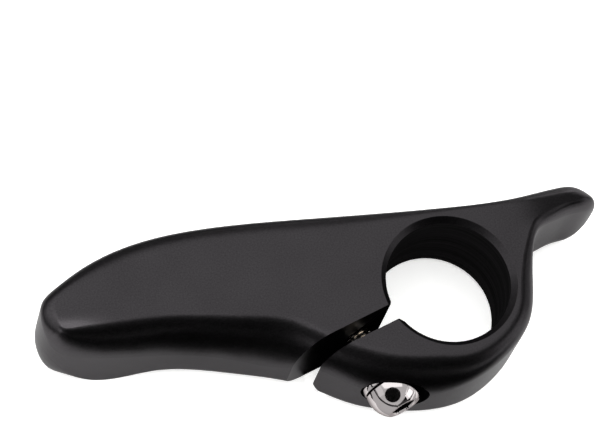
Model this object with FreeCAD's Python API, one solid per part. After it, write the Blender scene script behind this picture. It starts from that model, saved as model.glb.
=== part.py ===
import FreeCAD, Part
import math
import os

# Bar end for a bicycle handlebar: a one-piece aluminium wing with a clamp ring, a slotted lug and a
# thumb rest, closed by one socket-head bolt on a washer. Sizes are in millimetres.
# The origin is the middle of the bore, +Z is the bore axis, and the wing points along -X.

V = FreeCAD.Vector

# Bore for the handlebar
bar_diameter = 22.2
bore_chamfer = 1.0

# Clamp: its depth along the bore, the metal around the bore, and the reach of the slotted side
clamp_depth = 18.0
ring_wall = 4.65
top_wall = 3.7
lug_wall = 6.7
slot_reach = 28.1
lug_reach = 26.5
lug_low_x = -4.0
lug_end_round = 4.5

# Angles below +X between which the ring's outside swells to the lug
swell_start = -42
swell_end = -93

# Wing, measured from the bore axis, and its lower edge, which is level from the tip to the arch's start
wing_reach = 71.4
wing_floor = 5.15
tip_drop = 11.4
tip_corner = 6.0
arch_start = 11.25
arch_fall = 5.35

# Top edge: its dip over the bore, its rise towards the thumb rest, and the share that stays level
top_dip = 0.45
shoulder_rise = 0.2
shoulder_inset = 1.0
level_share = 0.3
fall_power = 3.3
tip_rise = 3.7
tip_inset = 0.6

# Thumb rest: reach from the bore axis, rise above the wing's top, thickness, and depth of its rounded end
rest_reach = 30.7
rest_rise = 1.7
rest_thickness = 3.7
rest_end_depth = 8.4

# Hollow under the rest: radius, and its centre out from the ring and down from the rest's underside
rest_hollow = 5.4
hollow_out = 6.26
hollow_drop = 8.0

# Roundings of the outer edge: reach over the face, and depth down the side
bridge_rounding = (1.75, 2.6)
top_rounding = (3.7, 3.0)
fall_rounding = (3.2, 2.8)
tip_rounding = (2.3, 2.6)
tip_side_rounding = (2.5, 2.4)
tip_corner_rounding = (1.9, 6.0)
arch_rounding = (3.1, 7.0)
mouth_rounding = (5.7, 10.4)
lug_rounding = (4.8, 8.0)
heel_rounding = (3.9, 5.6)
ring_rounding = (2.9, 4.0)
rest_rounding = (1.6, 1.7)
back_rounding = (2.4, 2.4)
tip_back_rounding = (1.5, 7.0)

# Clamp slot, cut from the bore outwards
slot_width = 3.0
slot_angle = 201.2
slot_offset = 0.55
wing_corner_break = 0.4
lug_corner_break = 0.4

# Clamp bolt, square to the slot, and the washer under its head
bolt_distance = 16.25
thread_diameter = 5.0
bolt_length = 20.0
bolt_point = 0.8
head_diameter = 9.5
head_height = 5.0
head_skirt = 1.35
bearing_height = 0.35
bearing_inset = 0.8
socket_flats = 4.0
socket_depth = 2.8
washer_diameter = 9.5
washer_thickness = 1.2
washer_seat = 7.7
counterbore_diameter = 10.2
hole_clearance = 0.25
thread_clearance = 0.05
tapped_run_out = 2.0

# Values that follow from the sizes above
bore_radius = bar_diameter / 2
ring_radius = bore_radius + ring_wall
face_z = clamp_depth / 2
top_y = bore_radius + top_wall
lug_y = -(bore_radius + lug_wall)
rest_y = top_y + rest_rise
rest_low_y = rest_y - rest_thickness
slot_direction = V(math.cos(math.radians(slot_angle)), math.sin(math.radians(slot_angle)), 0)
bolt_direction = V(-slot_direction.y, slot_direction.x, 0)
slot_middle = bolt_direction * slot_offset
slot_mouth = slot_middle + slot_direction * slot_reach
bolt_origin = slot_middle + slot_direction * bolt_distance
round_weight = math.sqrt(0.5)


def polar(radius, degrees):
    return radius * math.cos(math.radians(degrees)), radius * math.sin(math.radians(degrees))


def wing_top(share):
    """Point of the top edge at a share of the way from the bore to the tip: level, then falling."""
    x = -bore_radius - share * (wing_reach - bore_radius)
    fall = max(0, share - level_share) / (1 - level_share)
    return x, top_y - tip_drop * fall ** fall_power


def wing_arch(share):
    """Point of the hollow lower edge at a share of the way from the tip to the slot's mouth."""
    start = -wing_reach + arch_start
    x = start + share * (slot_mouth.x - start)
    return x, -wing_floor - arch_fall * share ** 2


def growing_rounding(share):
    """Rounding of the lower edge, which grows from the tip to the slot's mouth."""
    return [low + math.sqrt(share) * (high - low) for low, high in zip(arch_rounding, mouth_rounding)]


def tip_arc(degrees):
    """Point of the round lower corner of the wing's tip."""
    x, y = polar(tip_corner, degrees)
    return -wing_reach + tip_corner + x, -wing_floor + tip_corner + y


def lug_edge(share):
    """Point of the lug's lower edge at a share of the way from the slot's mouth to the lowest point."""
    x = slot_mouth.x + share * (lug_low_x - slot_mouth.x)
    return x, lug_y + (slot_mouth.y - lug_y) * (1 - share) ** 2


def ring_edge(degrees):
    """Point of the ring's outside, which swells towards the lug."""
    swell = max(0, swell_start - degrees) / (swell_start - swell_end)
    return polar(ring_radius + (lug_wall - ring_wall) * swell ** 2, degrees)


def hollow_arc(degrees):
    """Point of the round hollow between the ring and the thumb rest."""
    x, y = polar(rest_hollow, degrees)
    return ring_radius + hollow_out + x, rest_low_y - hollow_drop + y


def plain(x, y, rounding, back=back_rounding):
    """Outline station whose front and back roundings run square to the outline.

    The back rounding reaches no further over the back than the front one does over the face.
    """
    return V(x, y, 0), rounding, (min(rounding[0], back[0]), back[1]), None


def on_rest(inset, drop):
    """Point of the thumb rest by shares of its thickness, in from its end and down from its top."""
    return V(rest_reach - inset * rest_thickness, rest_y - drop * rest_thickness, 0)


def crested(place, depth, crest):
    """Outline station of the thumb rest, whose roundings run up to a point of the rest's crest."""
    rounding = (0, depth * rest_end_depth)
    return on_rest(*place), rounding, rounding, on_rest(*crest)


def outline_stations():
    """Stations of the plan outline, counter-clockwise from the mouth of the slot."""
    return [
        # lug
        plain(*lug_edge(0), lug_rounding),
        plain(*lug_edge(0.36), lug_rounding),
        plain(*lug_edge(0.68), lug_rounding),
        # ring
        plain(*lug_edge(1), lug_rounding),
        plain(*ring_edge(-84), heel_rounding),
        plain(*ring_edge(-55), ring_rounding),
        plain(*ring_edge(-28), ring_rounding),
        plain(*ring_edge(-2), ring_rounding),
        # hollow, underside, end and top of the thumb rest
        plain(*hollow_arc(168), rest_rounding),
        plain(*hollow_arc(135), rest_rounding),
        crested((2.6, 1.72), 0.3, (2.95, 1.42)),
        crested((1.55, 1.36), 0.36, (1.95, 1.08)),
        crested((0.3, 1.06), 0.71, (1.28, 1.0)),
        crested((0.02, 0.8), 1.0, (1.1, 0.94)),
        crested((0.66, 0.13), 0.65, (1.4, 0.89)),
        crested((2.0, -0.04), 0.43, (2.3, 0.93)),
        # top edge of the ring and the wing
        plain(ring_radius - shoulder_inset, top_y + shoulder_rise, bridge_rounding),
        plain(0, top_y - top_dip, bridge_rounding),
        plain(*wing_top(0.2), top_rounding),
        plain(*wing_top(0.5), top_rounding),
        plain(*wing_top(0.74), top_rounding),
        plain(*wing_top(0.86), fall_rounding),
        plain(*wing_top(0.95), tip_rounding, tip_back_rounding),
        plain(tip_inset - wing_reach, tip_rise, tip_rounding, tip_back_rounding),
        # tip and lower edge of the wing
        plain(*tip_arc(180), tip_side_rounding, tip_back_rounding),
        plain(*tip_arc(225), tip_corner_rounding, tip_back_rounding),
        plain(*tip_arc(270), arch_rounding),
        plain(*wing_arch(0.3), growing_rounding(0.3)),
        plain(*wing_arch(0.65), growing_rounding(0.65)),
        plain(*wing_arch(0.9), growing_rounding(0.9)),
    ]


def smooth_loop(points, parameters):
    """Spline through a closed row of points that runs smoothly on past its start."""
    curve = Part.BSplineCurve()
    curve.interpolate(Points=points[-3:] + points + points[:4], Parameters=parameters)
    return curve


def loop_parameters(points):
    """Chord lengths along a closed row of points and the overlap at its start."""
    row = points[-3:] + points + points[:4]
    lengths = [0.0]
    for before, after in zip(row, row[1:]):
        lengths.append(lengths[-1] + (after - before).Length)
    return lengths


def at_height(points, heights):
    return [V(point.x, point.y, height) for point, height in zip(points, heights)]


def skin(curves, weights):
    """Face over matching curves: flat between two, an elliptic rounding between three."""
    rows = [curve.getPoles() for curve in curves]
    poles = [list(column) for column in zip(*rows)]
    ends = [len(curves), len(curves)]
    surface = Part.BSplineSurface()
    surface.buildFromPolesMultsKnots(
        poles, curves[0].getMultiplicities(), ends, curves[0].getKnots(), [0.0, 1.0],
        False, False, curves[0].Degree, len(curves) - 1, [weights] * len(poles))
    return surface.toShape()


def blank():
    """Body before it is bored and slotted: the plan outline with rounded front and back edges."""
    stations = outline_stations()
    outline = [station[0] for station in stations]
    parameters = loop_parameters(outline)
    path = smooth_loop(outline, parameters)
    front = []
    back = []
    for (point, rounding, back_round, crest), parameter in zip(stations, parameters[3:]):
        tangent = path.tangent(parameter)[0]
        inward = V(-tangent.y, tangent.x, 0)
        front.append(crest or point + inward * rounding[0])
        back.append(crest or point + inward * back_round[0])
    count = len(stations)
    rails = [
        at_height(front, [face_z] * count),
        at_height(outline, [face_z] * count),
        at_height(outline, [face_z - station[1][1] for station in stations]),
        at_height(outline, [station[2][1] - face_z for station in stations]),
        at_height(outline, [-face_z] * count),
        at_height(back, [-face_z] * count),
    ]

    start, middle, end = parameters[3], parameters[3 + count // 2], parameters[3 + count]
    faces = []
    front_edges = []
    back_edges = []
    for span in ((start, middle), (middle, end)):
        curves = [smooth_loop(rail, parameters) for rail in rails]
        for curve in curves:
            curve.segment(*span)
        faces.append(skin(curves[:3], [1.0, round_weight, 1.0]))
        faces.append(skin(curves[2:4], [1.0, 1.0]))
        faces.append(skin(curves[3:], [1.0, round_weight, 1.0]))
        front_edges.append(curves[0].toShape())
        back_edges.append(curves[-1].toShape())
    faces.append(Part.Face(Part.Wire(front_edges)))
    faces.append(Part.Face(Part.Wire(back_edges)))
    shell = Part.Shell(faces)
    shell.sewShape()
    return Part.Solid(shell)


def revolved(profile):
    """Solid of a closed profile in the XZ plane, turned about the Z axis."""
    return Part.Face(Part.Wire(profile)).revolve(V(0, 0, 0), V(0, 0, 1), 360)


def polyline(points):
    return Part.makePolygon([V(x, 0, z) for x, z in points]).Edges


def on_bolt_axis(shape, distance):
    """Moves a shape from the Z axis to the bolt axis, at a distance from the middle of the slot."""
    turn = FreeCAD.Rotation(V(0, 0, 1), bolt_direction)
    shape.Placement = FreeCAD.Placement(bolt_origin + bolt_direction * distance, turn)
    return shape


def along_slot(shape):
    """Turns a shape from the X axis to the slot, with the lug on its +Y side."""
    shape.Placement = FreeCAD.Placement(slot_middle, FreeCAD.Rotation(V(0, 0, 1), slot_angle))
    return shape


def bore_tool():
    """Bore with a chamfer at each mouth."""
    mouth = bore_radius + bore_chamfer
    waist = face_z - bore_chamfer
    above = face_z + bore_chamfer
    wide = mouth + bore_chamfer
    return revolved(polyline([
        (0, -above), (wide, -above), (bore_radius, -waist), (bore_radius, waist),
        (wide, above), (0, above), (0, -above)]))


def slot_tool():
    """Saw cut from the bore outwards, with broken corners at the bore."""
    half = slot_width / 2
    beyond = slot_reach + ring_wall
    corners = [
        (bore_radius - wing_corner_break, -half - 2 * wing_corner_break),
        (bore_radius + wing_corner_break, -half),
        (beyond, -half),
        (beyond, half),
        (bore_radius + lug_corner_break, half),
        (bore_radius - lug_corner_break, half + 2 * lug_corner_break),
        (bore_radius - wing_corner_break, -half - 2 * wing_corner_break),
    ]
    profile = Part.makePolygon([V(x, y, -clamp_depth) for x, y in corners])
    return along_slot(Part.Face(profile).extrude(V(0, 0, 2 * clamp_depth)))


def lug_end_tool():
    """Cut that squares the lug's end and rounds its back corner."""
    beyond = slot_reach + ring_wall
    corner = (lug_reach - lug_end_round, lug_end_round - face_z)
    x, z = polar(lug_end_round, -45)
    bend = Part.Arc(
        V(lug_reach, 0, corner[1]), V(corner[0] + x, 0, corner[1] + z), V(corner[0], 0, -face_z))
    outside = polyline([
        (corner[0], -face_z), (corner[0], -clamp_depth), (beyond, -clamp_depth), (beyond, clamp_depth),
        (lug_reach, clamp_depth), (lug_reach, corner[1])])
    profile = Part.Wire([bend.toShape(), *outside])
    return along_slot(Part.Face(profile).extrude(V(0, beyond, 0)))


def bolt_hole_tools():
    """Counterbore and clearance hole in the lug, and tapped hole in the wing."""
    clear_radius = thread_diameter / 2 + hole_clearance
    tapped_radius = thread_diameter / 2 + thread_clearance
    tapped_depth = bolt_length - washer_seat - washer_thickness + tapped_run_out
    counterbore = Part.makeCylinder(counterbore_diameter / 2, lug_wall + head_height)
    clearance = Part.makeCylinder(clear_radius, washer_seat)
    tapped = Part.makeCylinder(tapped_radius, tapped_depth)
    return [
        on_bolt_axis(counterbore, washer_seat),
        on_bolt_axis(clearance, 0),
        on_bolt_axis(tapped, -tapped_depth),
    ]


def body():
    return blank().cut([bore_tool(), slot_tool(), lug_end_tool(), *bolt_hole_tools()])


def clamp_bolt():
    """Socket-head screw with a domed head, turned with the underside of the head at the origin."""
    head_radius = head_diameter / 2
    shank_radius = thread_diameter / 2
    dome_height = head_height - head_skirt
    flat_radius = math.sqrt(head_radius ** 2 - dome_height ** 2)
    on_dome = polar(head_radius, math.degrees(math.asin(dome_height / head_radius)) / 2)
    dome = Part.Arc(
        V(head_radius, 0, head_skirt), V(on_dome[0], 0, head_skirt + on_dome[1]),
        V(flat_radius, 0, head_height))
    below = polyline([
        (0, head_height), (0, -bolt_length), (shank_radius - bolt_point, -bolt_length),
        (shank_radius, bolt_point - bolt_length), (shank_radius, 0), (head_radius - bearing_inset, 0),
        (head_radius - bearing_inset, bearing_height), (head_radius, bearing_height),
        (head_radius, head_skirt)])
    above = polyline([(flat_radius, head_height), (0, head_height)])
    bolt = revolved([*below, dome.toShape(), *above])
    corner_radius = socket_flats / math.sqrt(3)
    corners = [V(*polar(corner_radius, 60 * turn), head_height - socket_depth) for turn in range(7)]
    socket = Part.Face(Part.makePolygon(corners)).extrude(V(0, 0, head_height))
    return on_bolt_axis(bolt.cut(socket), washer_seat + washer_thickness)


def washer():
    ring = Part.makeCylinder(washer_diameter / 2, washer_thickness)
    hole = Part.makeCylinder(thread_diameter / 2 + hole_clearance, washer_thickness)
    return on_bolt_axis(ring.cut(hole), washer_seat)


os.makedirs("parts", exist_ok=True)
for name, shape in (("body", body()), ("clamp_bolt", clamp_bolt()), ("washer", washer())):
    shape.exportStep(os.path.join("parts", name + ".step"))
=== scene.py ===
import math

import bmesh
import bpy
from mathutils import Matrix, Vector


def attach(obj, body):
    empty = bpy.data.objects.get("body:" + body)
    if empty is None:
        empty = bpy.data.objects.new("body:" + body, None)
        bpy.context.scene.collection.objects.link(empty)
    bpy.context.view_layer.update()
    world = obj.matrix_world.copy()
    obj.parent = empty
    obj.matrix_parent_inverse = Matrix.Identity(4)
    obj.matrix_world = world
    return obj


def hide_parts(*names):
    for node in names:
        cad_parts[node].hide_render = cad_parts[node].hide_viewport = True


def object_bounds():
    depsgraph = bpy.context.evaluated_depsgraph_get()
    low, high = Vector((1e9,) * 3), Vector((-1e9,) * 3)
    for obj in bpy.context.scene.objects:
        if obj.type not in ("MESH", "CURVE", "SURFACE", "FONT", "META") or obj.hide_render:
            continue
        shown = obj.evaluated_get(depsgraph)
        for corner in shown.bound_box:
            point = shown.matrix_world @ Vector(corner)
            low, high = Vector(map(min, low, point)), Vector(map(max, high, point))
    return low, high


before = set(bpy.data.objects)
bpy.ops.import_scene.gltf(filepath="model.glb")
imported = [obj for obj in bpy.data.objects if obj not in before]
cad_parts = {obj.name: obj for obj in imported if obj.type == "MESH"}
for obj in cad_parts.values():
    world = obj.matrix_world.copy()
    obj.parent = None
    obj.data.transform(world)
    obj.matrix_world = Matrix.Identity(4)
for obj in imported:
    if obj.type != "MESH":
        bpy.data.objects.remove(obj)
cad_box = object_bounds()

bl_info = {
    "name": "Bar end looks",
    "version": (1, 0, 0),
    "blender": (4, 5, 0),
    "location": "View3D > Sidebar > Bar End",
    "description": "Finishes, threaded clamp bolt, washer and studio for a clamped handlebar bar end",
    "category": "Object",
}

MM = 0.001
BODY = "root"

# The slot leaves the bore at this angle, and the bolt stands square to it
SLOT_ANGLE = math.radians(201.2)
SLOT_OFFSET = 0.55 * MM
SLOT_REACH = 28.1 * MM
SLOT_WIDTH = 3.0 * MM
BOLT_DISTANCE = 16.25 * MM
WASHER_SEAT = 7.7 * MM

# Bearing face under the bolt head, smaller than the head, so that a groove shows above the washer
BEARING_INSET = 0.8 * MM
BEARING_HEIGHT = 0.35 * MM

# Holes in the body, and how far off its wall a point still counts as part of a hole
BORE_RADIUS = 11.1 * MM
COUNTERBORE_RADIUS = 5.1 * MM
TAPPED_DEPTH = 14 * MM
BORE_MARGIN = 0.02 * MM

# Thread form as shares of the pitch: depth, crest, end of the flank and end of the root
THREAD_DEPTH = 0.61
THREAD_CREST = 0.125
THREAD_FLANK = 0.44
THREAD_ROOT = 0.69
THREAD_MERGE = 0.002 * MM

# Thumb rest: where its top starts to lean and where it leans fully, and how its normal turns
REST_ROOT = (12 * MM, 7 * MM)
REST_LEAN = (22 * MM, 11 * MM)
REST_TILT = (0.2, -0.2, 0.0)

# Lower corner of the wing's tip, where the face starts to fall away in the same manner
TIP_ROOT = (-56 * MM, 0.8 * MM)
TIP_LEAN = (-68 * MM, -2.3 * MM)
TIP_TILT = (-0.27, -0.17, 0.0)

# Upright share of the normal from which a face starts to count as level, and from which it fully does
LEVEL_FROM = 0.8
LEVEL_FULL = 0.98

# Floor: its reach, its tiles and how far they go past the part's low and high corners
FLOOR_REACH = 3.0
TILE = 2 * MM
TILED_BEFORE = (50 * MM, 12 * MM)
TILED_PAST = (50 * MM, 30 * MM)

# Lit floor: its front edge before the wing, which drops to both sides of a middle, and before the lug,
# its left end beside the tip, where it starts behind the part, and the slot's outer stretch that it reaches
WING_MIDDLE = -45 * MM
WING_FRONT = -13 * MM
WING_FLARE = 0.3
LUG_FRONT = -25 * MM
TIP_LEFT = -101 * MM
FLOOR_BEHIND = 40 * MM
SLOT_MOUTH = 2.5 * MM

# Camera: its direction from the part, its right and up, its distance, and how far its aim lies off the bore
VIEW = Vector((-0.2526, -0.3439, 0.9044))
VIEW_RIGHT = Vector((0.9634, -0.1757, 0.2023))
VIEW_UP = Vector((0.0893, 0.9224, 0.3757))
VIEW_DISTANCE = 0.6
VIEW_HEIGHT = 8 * MM
AIM_LEFT = 0.0431
AIM_UP = 0.02066
SENSOR_WIDTH = 36
FOCAL_LENGTH = 206.9

# Black disc that the bolt's dome mirrors as a round dark spot: its direction, distance and half angle
SPOT_DIRECTION = Vector((-0.268, -0.6255, 0.7328))
SPOT_DISTANCE = 0.1
SPOT_HALF_ANGLE = math.radians(32)


def linear(colour):
    """Linear RGB of an sRGB hex colour."""
    shares = [int(colour[i:i + 2], 16) / 255 for i in (1, 3, 5)]
    return tuple(s / 12.92 if s <= 0.04045 else ((s + 0.055) / 1.055) ** 2.4 for s in shares)


def add_node(tree, kind, inputs=(), **settings):
    """New node with its settings, and its inputs set to values or linked from other nodes' outputs."""
    node = tree.nodes.new(kind)
    for name, value in settings.items():
        setattr(node, name, value)
    for name, value in dict(inputs).items():
        if isinstance(value, bpy.types.NodeSocket):
            tree.links.new(value, node.inputs[name])
        else:
            node.inputs[name].default_value = value
    return node


def new_material(name):
    """Empty node material and its tree."""
    material = bpy.data.materials.new(name)
    material.use_nodes = True
    material.node_tree.nodes.clear()
    return material, material.node_tree


def bolt_frame(distance):
    """Frame on the bolt's axis, its Z towards the head, at a distance from the middle of the slot."""
    along = Vector((math.cos(SLOT_ANGLE), math.sin(SLOT_ANGLE), 0))
    out = Vector((-along.y, along.x, 0))
    turn = Vector((0, 0, 1)).rotation_difference(out).to_matrix().to_4x4()
    return Matrix.Translation(along * BOLT_DISTANCE + out * (SLOT_OFFSET + distance)) @ turn


def hex_radius(flats):
    """Radius of a hexagonal socket at an angle about its axis."""
    return lambda angle: flats / 2 / math.cos((angle + math.pi / 6) % (math.pi / 3) - math.pi / 6)


def lathe(mesh, rows, segments=96, closed=False):
    """Turned skin through rows of (radius, height), where a radius may be a function of the angle."""
    rings = []
    for radius, height in rows:
        ring = []
        for k in range(segments):
            angle = 2 * math.pi * k / segments
            r = radius(angle) if callable(radius) else radius
            ring.append(mesh.verts.new((r * math.cos(angle), r * math.sin(angle), height)))
        rings.append(ring)
    pairs = list(zip(rings, rings[1:]))
    if closed:
        pairs.append((rings[-1], rings[0]))
    for low, high in pairs:
        for k in range(segments):
            n = (k + 1) % segments
            mesh.faces.new((low[k], low[n], high[n], high[k]))
    if not closed:
        mesh.faces.new(rings[-1])
        mesh.faces.new(rings[0][::-1])


def thread(mesh, major, pitch, top, bottom, steps=40):
    """Helical thread with flat crests between two heights, run in at its lower end and closed at both."""
    minor = major - THREAD_DEPTH * pitch
    section = (
        (0.0, major), (THREAD_CREST, major), (THREAD_FLANK, minor), (THREAD_ROOT, minor), (1.0, major))
    turns = math.ceil((top - bottom) / pitch) + 2
    rows = []
    for step in range(turns * steps + 1):
        angle = 2 * math.pi * step / steps
        start = bottom - pitch + pitch * step / steps
        row = []
        for share, radius in section:
            height = min(max(start + share * pitch, bottom), top)
            r = min(radius, minor + height - bottom)
            row.append(mesh.verts.new((r * math.cos(angle), r * math.sin(angle), height)))
        rows.append(row)
    for before, after in zip(rows, rows[1:]):
        for k in range(len(section) - 1):
            mesh.faces.new((before[k], after[k], after[k + 1], before[k + 1]))
    bmesh.ops.remove_doubles(mesh, verts=mesh.verts, dist=THREAD_MERGE)
    bmesh.ops.dissolve_degenerate(mesh, edges=mesh.edges, dist=THREAD_MERGE / 2)
    loose = [edge for edge in mesh.edges if edge.is_boundary]
    bmesh.ops.holes_fill(mesh, edges=loose, sides=0)


def new_object(name, mesh, material, place=Matrix()):
    """Object in the scene from a mesh, moved to its place."""
    data = bpy.data.meshes.new(name)
    mesh.to_mesh(data)
    mesh.free()
    data.transform(place)
    data.materials.append(material)
    made = bpy.data.objects.new(name, data)
    bpy.context.scene.collection.objects.link(made)
    return made


def finish_piece(name, mesh, place, material, sharp_degrees):
    """Piece from a mesh in place, smooth but for its sharp edges, riding on the part."""
    bmesh.ops.recalc_face_normals(mesh, faces=mesh.faces)
    for face in mesh.faces:
        face.smooth = True
    for edge in mesh.edges:
        edge.smooth = edge.calc_face_angle(0.0) < math.radians(sharp_degrees)
    piece = new_object(name, mesh, material, place)
    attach(piece, BODY)
    return piece


def lean(tree, place, normal, root, full, tilt):
    """Turn of the normal that grows in X and Y from a root to a place of full lean, on level faces only."""
    axes = add_node(tree, "ShaderNodeSeparateXYZ", {"Vector": place})
    share = add_node(tree, "ShaderNodeMapRange", {
        "Value": add_node(tree, "ShaderNodeSeparateXYZ", {"Vector": normal}).outputs["Z"],
        "From Min": LEVEL_FROM, "From Max": LEVEL_FULL}).outputs["Result"]
    for axis, low, high in zip("XY", root, full):
        grown = add_node(tree, "ShaderNodeMapRange", {
            "Value": axes.outputs[axis], "From Min": low, "From Max": high},
            interpolation_type="SMOOTHSTEP")
        share = add_node(tree, "ShaderNodeMath", {
            0: share, 1: grown.outputs["Result"]}, operation="MULTIPLY").outputs["Value"]
    turn = add_node(tree, "ShaderNodeVectorMath", {0: tilt, "Scale": share}, operation="SCALE")
    return turn.outputs["Vector"]


def anodised_aluminium(looks):
    """Forged aluminium, fine-blasted and black anodised: a satin near-black without any clear mirror image.

    The blast leaves a fine even grain that spreads reflections, and the dyed oxide is a little uneven.
    Its real grain is near 0.1 mm, too fine to show, so it is drawn at 0.3 mm. The top of the thumb rest
    leans a little towards its scoop, which keeps the light above off it, and the tip's lower corner falls
    away softly.
    """
    grain_size = 0.3 * MM
    cloud_size = 9 * MM
    rough_spread = 0.03
    material, tree = new_material("black_anodised_blasted_aluminium")
    place = add_node(tree, "ShaderNodeTexCoord").outputs["Object"]
    grain = add_node(tree, "ShaderNodeTexNoise", {
        "Vector": place, "Scale": 1 / grain_size, "Detail": 3.0, "Roughness": 0.6})
    cloud = add_node(tree, "ShaderNodeTexNoise", {
        "Vector": place, "Scale": 1 / cloud_size, "Detail": 2.0, "Roughness": 0.5})
    mottle = add_node(tree, "ShaderNodeMath", {
        0: cloud.outputs["Fac"], 1: 0.25, 2: grain.outputs["Fac"]}, operation="MULTIPLY_ADD")
    share = add_node(tree, "ShaderNodeMapRange", {
        "Value": mottle.outputs["Value"], "From Min": 0.38, "From Max": 0.87})
    tone = add_node(tree, "ShaderNodeMix", {
        "Factor": share.outputs["Result"], "A": (*looks.anodised, 1), "B": (*looks.anodised_pale, 1)},
        data_type="RGBA")
    rough = add_node(tree, "ShaderNodeMapRange", {
        "Value": grain.outputs["Fac"], "From Min": 0.3, "From Max": 0.7,
        "To Min": looks.satin - rough_spread, "To Max": looks.satin + rough_spread})
    normal = add_node(tree, "ShaderNodeNewGeometry").outputs["Normal"]
    facing = normal
    for root, full, tilt in ((REST_ROOT, REST_LEAN, REST_TILT), (TIP_ROOT, TIP_LEAN, TIP_TILT)):
        facing = add_node(tree, "ShaderNodeVectorMath", {
            0: facing, 1: lean(tree, place, normal, root, full, tilt)}, operation="ADD").outputs["Vector"]
    facing = add_node(tree, "ShaderNodeVectorMath", {0: facing}, operation="NORMALIZE").outputs["Vector"]
    bump = add_node(tree, "ShaderNodeBump", {
        "Height": grain.outputs["Fac"], "Strength": 0.10, "Distance": 0.02 * MM, "Normal": facing})
    shader = add_node(tree, "ShaderNodeBsdfPrincipled", {
        "Base Color": tone.outputs[2], "Metallic": 1.0, "Roughness": rough.outputs["Result"],
        "Specular Tint": (*linear("#c6c6c6"), 1), "Normal": bump.outputs["Normal"]})
    add_node(tree, "ShaderNodeOutputMaterial", {"Surface": shader.outputs["BSDF"]})
    return material


def cut_marks_in_painted_shade(name, dark, pale):
    """Dull near-black metal with fine rings along the cut and no sheen: the near-black and the missing
    sheen are painted shade for the hollows it lines, and the rings are tool marks.

    Real tool marks are near 0.1 mm apart, too fine to show, so they are drawn at 0.4 mm.
    """
    mark_gap = 0.4 * MM
    mark_length = 20 * MM
    material, tree = new_material(name)
    place = add_node(tree, "ShaderNodeTexCoord").outputs["Object"]
    along = add_node(tree, "ShaderNodeVectorMath", {
        0: place, 1: (1 / mark_length, 1 / mark_length, 1 / mark_gap)}, operation="MULTIPLY")
    marks = add_node(tree, "ShaderNodeTexNoise", {
        "Vector": along.outputs["Vector"], "Scale": 1.0, "Detail": 2.0})
    share = add_node(tree, "ShaderNodeMapRange", {
        "Value": marks.outputs["Fac"], "From Min": 0.3, "From Max": 0.7})
    tone = add_node(tree, "ShaderNodeMix", {
        "Factor": share.outputs["Result"], "A": (*linear(dark), 1), "B": (*linear(pale), 1)},
        data_type="RGBA")
    shader = add_node(tree, "ShaderNodeBsdfPrincipled", {
        "Base Color": tone.outputs[2], "Roughness": 0.5, "Specular IOR Level": 0.0})
    add_node(tree, "ShaderNodeOutputMaterial", {"Surface": shader.outputs["BSDF"]})
    return material


def chromed_steel(looks, name, colour, scratch_gap):
    """Turned steel, polished and bright chromed: clear mirror images, dimmer towards the edge.

    The polish leaves a slight haze, and scratches of a few hundredths of a millimetre. They are too fine to
    show, so they are drawn at a gap of some tenths.
    """
    haze_size = 1.5 * MM
    material, tree = new_material(name)
    place = add_node(tree, "ShaderNodeTexCoord").outputs["Object"]
    haze = add_node(tree, "ShaderNodeTexNoise", {
        "Vector": place, "Scale": 1 / haze_size, "Detail": 3.0, "Roughness": 0.6})
    rough = add_node(tree, "ShaderNodeMapRange", {
        "Value": haze.outputs["Fac"], "From Min": 0.3, "From Max": 0.7,
        "To Min": looks.polish - 0.02, "To Max": looks.polish + 0.03})
    scratches = add_node(tree, "ShaderNodeTexNoise", {
        "Vector": place, "Scale": 1 / scratch_gap, "Detail": 2.0, "Roughness": 0.5})
    bump = add_node(tree, "ShaderNodeBump", {
        "Height": scratches.outputs["Fac"], "Strength": 0.03, "Distance": 0.01 * MM})
    shader = add_node(tree, "ShaderNodeBsdfPrincipled", {
        "Base Color": (*colour, 1), "Metallic": 1.0, "Roughness": rough.outputs["Result"],
        "Specular Tint": (*linear("#a39f9f"), 1), "Normal": bump.outputs["Normal"]})
    add_node(tree, "ShaderNodeOutputMaterial", {"Surface": shader.outputs["BSDF"]})
    return material


def white_board(looks, name, glow):
    """Matt white acrylic sheet, a little lit from below: an even pale ground with a faint mottle."""
    mottle_size = 4 * MM
    material, tree = new_material(name)
    place = add_node(tree, "ShaderNodeTexCoord").outputs["Object"]
    mottle = add_node(tree, "ShaderNodeTexNoise", {
        "Vector": place, "Scale": 1 / mottle_size, "Detail": 3.0})
    tone = add_node(tree, "ShaderNodeMix", {
        "Factor": mottle.outputs["Fac"], "A": (*looks.board, 1), "B": (*linear("#fafaf9"), 1)},
        data_type="RGBA")
    shader = add_node(tree, "ShaderNodeBsdfPrincipled", {
        "Base Color": tone.outputs[2], "Roughness": 0.9, "Specular IOR Level": 0.1,
        "Emission Color": tone.outputs[2], "Emission Strength": glow})
    add_node(tree, "ShaderNodeOutputMaterial", {"Surface": shader.outputs["BSDF"]})
    return material


def black_felt():
    """Black felt: a matt near-black with a short nap that takes up nearly all light."""
    nap_size = 2 * MM
    material, tree = new_material("black_felt")
    place = add_node(tree, "ShaderNodeTexCoord").outputs["Object"]
    nap = add_node(tree, "ShaderNodeTexNoise", {"Vector": place, "Scale": 1 / nap_size, "Detail": 2.0})
    tone = add_node(tree, "ShaderNodeMix", {
        "Factor": nap.outputs["Fac"], "A": (*linear("#030303"), 1), "B": (*linear("#070707"), 1)},
        data_type="RGBA")
    shader = add_node(tree, "ShaderNodeBsdfPrincipled", {
        "Base Color": tone.outputs[2], "Roughness": 1.0, "Specular IOR Level": 0.0})
    add_node(tree, "ShaderNodeOutputMaterial", {"Surface": shader.outputs["BSDF"]})
    return material


def body_surface(centre):
    """Material at a point of the body: 0 outside, 1 in the bore, 2 in the bolt's counterbore and hole,
    where 1 and 2 carry painted shade.
    """
    if math.hypot(centre.x, centre.y) < BORE_RADIUS + BORE_MARGIN:
        return 1
    across = bolt_frame(0).inverted() @ centre
    in_hole = math.hypot(across.x, across.y) < COUNTERBORE_RADIUS + BORE_MARGIN
    return 2 if in_hole and across.z > -TAPPED_DEPTH else 0


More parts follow.
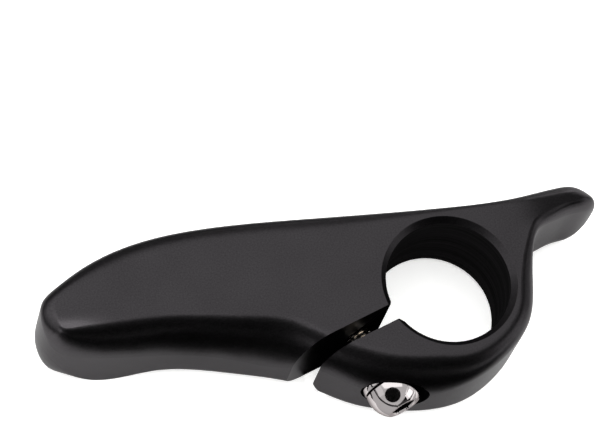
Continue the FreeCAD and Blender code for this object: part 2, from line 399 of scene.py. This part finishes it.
def surround(inner):
    """Rectangles that frame an inner rectangle out to the floor's reach: the lit floor's, and the rest."""
    (x0, y0), (x1, y1) = inner
    reach = FLOOR_REACH
    lit = [
        ((x1, -reach), (reach, y0)),
        ((FLOOR_BEHIND, y1), (reach, reach))]
    rest = [
        ((-reach, -reach), (x1, y0)),
        ((-reach, y0), (x0, y1)),
        ((x1, y0), (reach, y1)),
        ((-reach, y1), (FLOOR_BEHIND, reach))]
    return lit, rest


def tiles(inner):
    """Small rectangles that fill an inner rectangle."""
    (x0, y0), (x1, y1) = inner
    columns = math.ceil((x1 - x0) / TILE)
    rows = math.ceil((y1 - y0) / TILE)
    wide = (x1 - x0) / columns
    tall = (y1 - y0) / rows
    return [
        ((x0 + i * wide, y0 + j * tall), (x0 + (i + 1) * wide, y0 + (j + 1) * tall))
        for i in range(columns) for j in range(rows)]


def floor_part(tile):
    """Which part of the floor a tile belongs to: the bore and slot, the floor around, or the lit floor."""
    x = (tile[0][0] + tile[1][0]) / 2
    y = (tile[0][1] + tile[1][1]) / 2
    along = x * math.cos(SLOT_ANGLE) + y * math.sin(SLOT_ANGLE)
    across = y * math.cos(SLOT_ANGLE) - x * math.sin(SLOT_ANGLE)
    in_slot = 0 < along < SLOT_REACH - SLOT_MOUTH and abs(across - SLOT_OFFSET) < SLOT_WIDTH
    if in_slot or math.hypot(x, y) < BORE_RADIUS + SLOT_WIDTH:
        return "floor_in_bore"
    front = WING_FRONT - WING_FLARE * abs(x - WING_MIDDLE) if x < -SLOT_REACH else LUG_FRONT
    return "floor_around" if y < front or x < TIP_LEFT else "floor"


def lay_floor(looks):
    """Lays the pale floor: reflections show its lit part only, and the part in the bore and slot glows
    more, which is painted light that lifts the shade falling there.
    """
    low, high = cad_box
    inner = [
        (low[0] - TILED_BEFORE[0], low[1] - TILED_BEFORE[1]),
        (high[0] + TILED_PAST[0], high[1] + TILED_PAST[1])]
    lit, rest = surround(inner)
    parts = {"floor": lit, "floor_around": rest, "floor_in_bore": []}
    for tile in tiles(inner):
        parts[floor_part(tile)].append(tile)
    board = white_board(looks, "matt_white_board", looks.glow)
    # The floor in the bore and slot glows more than the rest: painted light that lifts the shade the part
    # casts there
    boards = {"floor_in_bore": white_board(looks, "matt_white_board_painted_light_in_bore", looks.bore_floor_painted_light)}
    for name, spans in parts.items():
        ground = bmesh.new()
        for (x0, y0), (x1, y1) in spans:
            corners = ((x0, y0), (x1, y0), (x1, y1), (x0, y1))
            ground.faces.new([ground.verts.new((x, y, low[2])) for x, y in corners])
        floor = new_object(name, ground, boards.get(name, board))
        floor.visible_glossy = name == "floor"


def lit_pieces(name, pieces):
    """Collection of the pieces that a light reaches."""
    group = bpy.data.collections.new(name)
    for piece in pieces:
        group.objects.link(piece)
    return group


def add_panel(name, place, aim, size, radiance, diffuse=False, pieces=None):
    """Lit panel of an even radiance, seen in reflections but not by the camera, on all or some pieces."""
    light = bpy.data.lights.new(name, "AREA")
    light.shape = "RECTANGLE"
    light.size, light.size_y = size
    light.energy = radiance * math.pi * size[0] * size[1]
    panel = bpy.data.objects.new(name, light)
    panel.location = place
    panel.rotation_euler = (Vector(place) - Vector(aim)).to_track_quat("Z", "Y").to_euler()
    panel.visible_camera = False
    panel.visible_diffuse = diffuse
    bpy.context.scene.collection.objects.link(panel)
    if pieces:
        panel.light_linking.receiver_collection = pieces


def hang_lights(scene):
    """Hangs softboxes and cards round the part, some of them for the body or the chrome alone."""
    world = bpy.data.worlds.new("studio")
    scene.world = world
    world.use_nodes = True
    background = world.node_tree.nodes["Background"]
    background.inputs["Color"].default_value = (1, 1, 1, 1)
    background.inputs["Strength"].default_value = 1.7
    world.cycles_visibility.glossy = False

    add_panel("canopy", (-0.75, 0.85, 1.0), (-0.75, 0.85, 0), (2.5, 2.0), 0.75, diffuse=True)
    add_panel("softbox", (-0.35, 0.475, 0.98), (-0.35, 0.475, 0), (1.7, 1.25), 0.62, diffuse=True)
    add_panel("front_card", (0, -1.0, 0.15), (0, 0, 0), (2.0, 0.3), 0.08)
    add_panel("left_card", (-1.4, 0.3, 0.45), (0, 0, 0.1), (2.2, 0.9), 0.34)
    add_panel("right_card", (1.4, 0.3, 0.45), (0, 0, 0.1), (2.2, 0.9), 0.5)
    add_panel("back_card", (0, 1.4, 0.15), (0, 0, 0), (2.5, 0.3), 0.5)
    add_panel("right_softbox", (1.1, -0.42, 0.47), (0.02, 0, 0), (0.75, 0.8), 1.0)

    satin = lit_pieces("satin_pieces", [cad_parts["body"]])
    tip = (-0.07, 0, 0)
    thumb_rest = (0.025, 0.014, 0)
    add_panel("tip_softbox", (-0.73, -0.68, 0.33), tip, (0.45, 0.6), 2.2, pieces=satin)
    add_panel("top_lamp", (-0.31, 0.0, 0.93), tip, (0.16, 0.16), 18.0, pieces=satin)
    add_panel("tip_card", (-0.52, 0.0, 0.18), tip, (0.5, 0.5), 0.75, pieces=satin)
    add_panel("rest_lamp", (0.62, 1.1, 0.3), thumb_rest, (0.3, 0.3), 6.0, pieces=satin)

    chromed = ("clamp_bolt_head", "clamp_bolt_thread", "washer_ring")
    polished = lit_pieces("polished_pieces", [bpy.data.objects[name] for name in chromed])
    apron = Vector((0, -0.085, cad_box[0][2]))
    add_panel("tent_front", VIEW * 1.3, (0, 0, 0), (4.6, 4.6), 1.0, pieces=polished)
    add_panel("floor_in_front", apron, apron + Vector((0, 0, 1)), (0.3, 0.13), 0.95, pieces=polished)
    add_panel("window", (1.01, -0.6, 0.43), (0, 0, 0), (0.7, 0.5), 2.0, pieces=polished)


def hang_spot_disc():
    """Hangs the black disc that the bolt's dome mirrors, seen in reflections only."""
    shade = bmesh.new()
    radius = SPOT_DISTANCE * math.tan(SPOT_HALF_ANGLE)
    bmesh.ops.create_circle(shade, cap_ends=True, segments=48, radius=radius)
    disc = new_object("lens_shade", shade, black_felt())
    disc.location = bolt_frame(WASHER_SEAT).translation + SPOT_DIRECTION * SPOT_DISTANCE
    disc.rotation_euler = SPOT_DIRECTION.to_track_quat("Z", "Y").to_euler()
    disc.visible_camera = False
    disc.visible_diffuse = False
    disc.visible_shadow = False


def set_camera(scene):
    """Sets the long lens that looks down on the part from its front left."""
    forward = (-VIEW - VIEW_RIGHT * AIM_LEFT + VIEW_UP * AIM_UP).normalized()
    side = forward.cross(VIEW_UP).normalized()
    above = side.cross(forward)
    lens = bpy.data.cameras.new("camera")
    lens.sensor_width = SENSOR_WIDTH
    lens.lens = FOCAL_LENGTH
    camera = bpy.data.objects.new("camera", lens)
    eye = Vector((0, 0, VIEW_HEIGHT)) + VIEW * VIEW_DISTANCE
    turn = Matrix((side, above, -forward)).transposed().to_4x4()
    camera.matrix_world = Matrix.Translation(eye) @ turn
    scene.collection.objects.link(camera)
    scene.camera = camera


class BarEndLooks(bpy.types.PropertyGroup):
    """Colours and finishes."""

    anodised: bpy.props.FloatVectorProperty(
        name="Anodising", description="Reflection colour of the black anodised body", subtype="COLOR",
        min=0, max=1, default=linear("#343234"))
    anodised_pale: bpy.props.FloatVectorProperty(
        name="Anodising, pale", description="Palest tone of the anodising's unevenness", subtype="COLOR",
        min=0, max=1, default=linear("#413f41"))
    satin: bpy.props.FloatProperty(
        name="Satin", description="Roughness of the blasted body", subtype="FACTOR",
        min=0.1, max=0.9, default=0.36)
    chrome: bpy.props.FloatVectorProperty(
        name="Chrome", description="Reflection colour of the bolt head and washer", subtype="COLOR",
        min=0, max=1, default=linear("#aaa5a5"))
    # Thread's chrome, brighter and warmer than the head's: a painted highlight that brightens its glints in
    # the slot
    thread: bpy.props.FloatVectorProperty(
        name="Thread", description="Reflection colour of the rolled thread", subtype="COLOR",
        min=0, max=1, default=linear("#d2ccc4"))
    polish: bpy.props.FloatProperty(
        name="Polish", description="Roughness of the chromed bolt and washer", subtype="FACTOR",
        min=0.02, max=0.5, default=0.07)
    glow: bpy.props.FloatProperty(
        name="Glow", description="Light that comes up through the floor", subtype="FACTOR",
        min=0, max=1, default=0.32)
    # Extra glow of the floor under the bore and slot: painted light that lifts the shade falling there
    bore_floor_painted_light: bpy.props.FloatProperty(
        name="Glow in bore", description="Light that comes up through the floor under the bore",
        subtype="FACTOR", min=0, max=1, default=0.5)
    board: bpy.props.FloatVectorProperty(
        name="Board", description="Colour of the floor", subtype="COLOR",
        min=0, max=1, default=linear("#f4f4f3"))


class BarEndBolt(bpy.types.PropertyGroup):
    """Sizes of the clamp bolt and its washer."""

    thread_diameter: bpy.props.FloatProperty(
        name="Thread", description="Outer diameter of the thread", unit="LENGTH", default=5.0 * MM)
    thread_pitch: bpy.props.FloatProperty(
        name="Pitch", description="Distance between thread crests", unit="LENGTH", default=0.8 * MM)
    length: bpy.props.FloatProperty(
        name="Length", description="Length under the head", unit="LENGTH", default=20.0 * MM)
    head_diameter: bpy.props.FloatProperty(
        name="Head diameter", description="Diameter of the domed head", unit="LENGTH", default=9.5 * MM)
    head_height: bpy.props.FloatProperty(
        name="Head height", description="Height of the domed head", unit="LENGTH", default=5.0 * MM)
    head_skirt: bpy.props.FloatProperty(
        name="Skirt", description="Height of the head's straight side", unit="LENGTH", default=1.35 * MM)
    socket_flats: bpy.props.FloatProperty(
        name="Socket", description="Width across the socket's flats", unit="LENGTH", default=4.0 * MM)
    socket_depth: bpy.props.FloatProperty(
        name="Socket depth", description="Depth of the hexagonal socket", unit="LENGTH", default=2.8 * MM)
    washer_diameter: bpy.props.FloatProperty(
        name="Washer", description="Outer diameter of the washer", unit="LENGTH", default=9.5 * MM)
    washer_hole: bpy.props.FloatProperty(
        name="Washer hole", description="Hole diameter of the washer", unit="LENGTH", default=5.5 * MM)
    washer_thickness: bpy.props.FloatProperty(
        name="Washer thickness", description="Thickness of the washer", unit="LENGTH", default=1.2 * MM)


class BAREND_OT_finish_body(bpy.types.Operator):
    """Gives the forged body its blasted and anodised finish, with painted shade and tool marks in its bore
    and painted shade in its counterbore
    """

    bl_idname = "barend.finish_body"
    bl_label = "Finish Body"

    def execute(self, context):
        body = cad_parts["body"]
        body.data.materials.clear()
        body.data.materials.append(anodised_aluminium(context.scene.bar_end_looks))
        # Bore and counterbore: painted shade, a dull near-black that stands for the shade inside them; the
        # bore also shows its tool marks
        body.data.materials.append(cut_marks_in_painted_shade("bore_tool_marks_and_painted_shade", "#0b0b0b", "#171617"))
        body.data.materials.append(cut_marks_in_painted_shade("counterbore_painted_shade", "#020202", "#060606"))
        for face in body.data.polygons:
            face.material_index = body_surface(face.center)
        return {"FINISHED"}


class BAREND_OT_make_clamp_bolt(bpy.types.Operator):
    """Turns the clamp bolt: domed head, hexagonal socket and helical thread"""

    bl_idname = "barend.make_clamp_bolt"
    bl_label = "Make Clamp Bolt"

    def execute(self, context):
        looks = context.scene.bar_end_looks
        sizes = context.scene.bar_end_bolt
        chrome = chromed_steel(looks, "polished_chromed_steel", looks.chrome, 0.4 * MM)
        # The thread gets a brighter chrome than the head: painted highlight for its glints in the slot
        bright = chromed_steel(looks, "thread_steel_painted_glint", looks.thread, 0.2 * MM)
        place = bolt_frame(WASHER_SEAT + sizes.washer_thickness)
        radius = sizes.head_diameter / 2
        top = sizes.head_height
        bearing = radius - BEARING_INSET
        rim = radius - 0.08 * MM
        rim_height = BEARING_HEIGHT + radius - rim
        dome_steps = 14
        dome_angle = math.asin((top - sizes.head_skirt) / radius)
        turns = [dome_angle * k / dome_steps for k in range(dome_steps + 1)]
        dome = [(radius * math.cos(turn), sizes.head_skirt + radius * math.sin(turn)) for turn in turns]
        crown = (dome[-1][0] - 0.15 * MM, top + 0.02 * MM)
        corner = sizes.socket_flats / math.sqrt(3)
        socket = hex_radius(sizes.socket_flats)
        socket_rim = top - 0.25 * MM
        socket_floor = top - sizes.socket_depth
        drill_point = (0.3 * MM, socket_floor - 0.8 * MM)

        turned = bmesh.new()
        lathe(turned, [
            (sizes.thread_diameter / 2, 0), (bearing, 0), (bearing, BEARING_HEIGHT), (rim, BEARING_HEIGHT),
            (radius, rim_height), *dome, crown, (corner + 0.1 * MM, top),
            (socket, socket_rim), (socket, socket_floor), drill_point])
        head = finish_piece("clamp_bolt_head", turned, place, chrome, 32)
        # Groove under the head and hex socket: painted shade, a dull near-black that stands for the shade
        # that falls in them
        head.data.materials.append(cut_marks_in_painted_shade("bolt_groove_and_socket_painted_shade", "#030303", "#0a0a0a"))
        for face in head.data.polygons:
            centre = place.inverted() @ face.center
            off_axis = math.hypot(centre.x, centre.y)
            in_groove = centre.z < BEARING_HEIGHT + BORE_MARGIN and off_axis < rim
            in_socket = centre.z < socket_rim and off_axis < corner
            face.material_index = int(in_groove or in_socket)

        rolled = bmesh.new()
        thread(rolled, sizes.thread_diameter / 2, sizes.thread_pitch, 0.0, -sizes.length)
        shank = finish_piece("clamp_bolt_thread", rolled, place, bright, 20)
        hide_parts("clamp_bolt")
        return {"FINISHED"}


class BAREND_OT_make_washer(bpy.types.Operator):
    """Turns the washer under the bolt head, with broken edges"""

    bl_idname = "barend.make_washer"
    bl_label = "Make Washer"

    def execute(self, context):
        looks = context.scene.bar_end_looks
        sizes = context.scene.bar_end_bolt
        chrome = chromed_steel(looks, "polished_chromed_washer_steel", looks.chrome, 0.5 * MM)
        outer = sizes.washer_diameter / 2
        inner = sizes.washer_hole / 2
        tall = sizes.washer_thickness
        edge = 0.15 * MM
        soft = 0.3 * edge
        turned = bmesh.new()
        lathe(turned, [
            (inner, edge), (inner + edge, 0), (outer - edge, 0), (outer - soft, soft), (outer, edge),
            (outer, tall - edge), (outer - soft, tall - soft), (outer - edge, tall),
            (inner + edge, tall), (inner, tall - edge)], closed=True)
        ring = finish_piece("washer_ring", turned, bolt_frame(WASHER_SEAT), chrome, 50)
        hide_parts("washer")
        return {"FINISHED"}


class BAREND_OT_set_stage(bpy.types.Operator):
    """Lays the floor and sets the lights and the camera"""

    bl_idname = "barend.set_stage"
    bl_label = "Set Stage"

    def execute(self, context):
        scene = context.scene
        lay_floor(scene.bar_end_looks)
        hang_lights(scene)
        hang_spot_disc()
        set_camera(scene)
        scene.view_settings.view_transform = "Standard"
        return {"FINISHED"}


class BAREND_PT_panel(bpy.types.Panel):
    """Lists the steps and their sizes and colours"""

    bl_label = "Bar End"
    bl_idname = "BAREND_PT_panel"
    bl_space_type = "VIEW_3D"
    bl_region_type = "UI"
    bl_category = "Bar End"

    def draw(self, context):
        for step in STEPS:
            self.layout.operator(step.bl_idname)
        for group in (context.scene.bar_end_looks, context.scene.bar_end_bolt):
            for name in group.__annotations__:
                self.layout.prop(group, name)


STEPS = (BAREND_OT_finish_body, BAREND_OT_make_clamp_bolt, BAREND_OT_make_washer, BAREND_OT_set_stage)
CLASSES = (BarEndLooks, BarEndBolt, *STEPS, BAREND_PT_panel)


def register():
    for cls in CLASSES:
        bpy.utils.register_class(cls)
    bpy.types.Scene.bar_end_looks = bpy.props.PointerProperty(type=BarEndLooks)
    bpy.types.Scene.bar_end_bolt = bpy.props.PointerProperty(type=BarEndBolt)


def unregister():
    del bpy.types.Scene.bar_end_bolt
    del bpy.types.Scene.bar_end_looks
    for cls in reversed(CLASSES):
        bpy.utils.unregister_class(cls)


def main():
    register()
    bpy.ops.barend.finish_body()
    bpy.ops.barend.make_clamp_bolt()
    bpy.ops.barend.make_washer()
    bpy.ops.barend.set_stage()


if __name__ == "__main__":
    main()
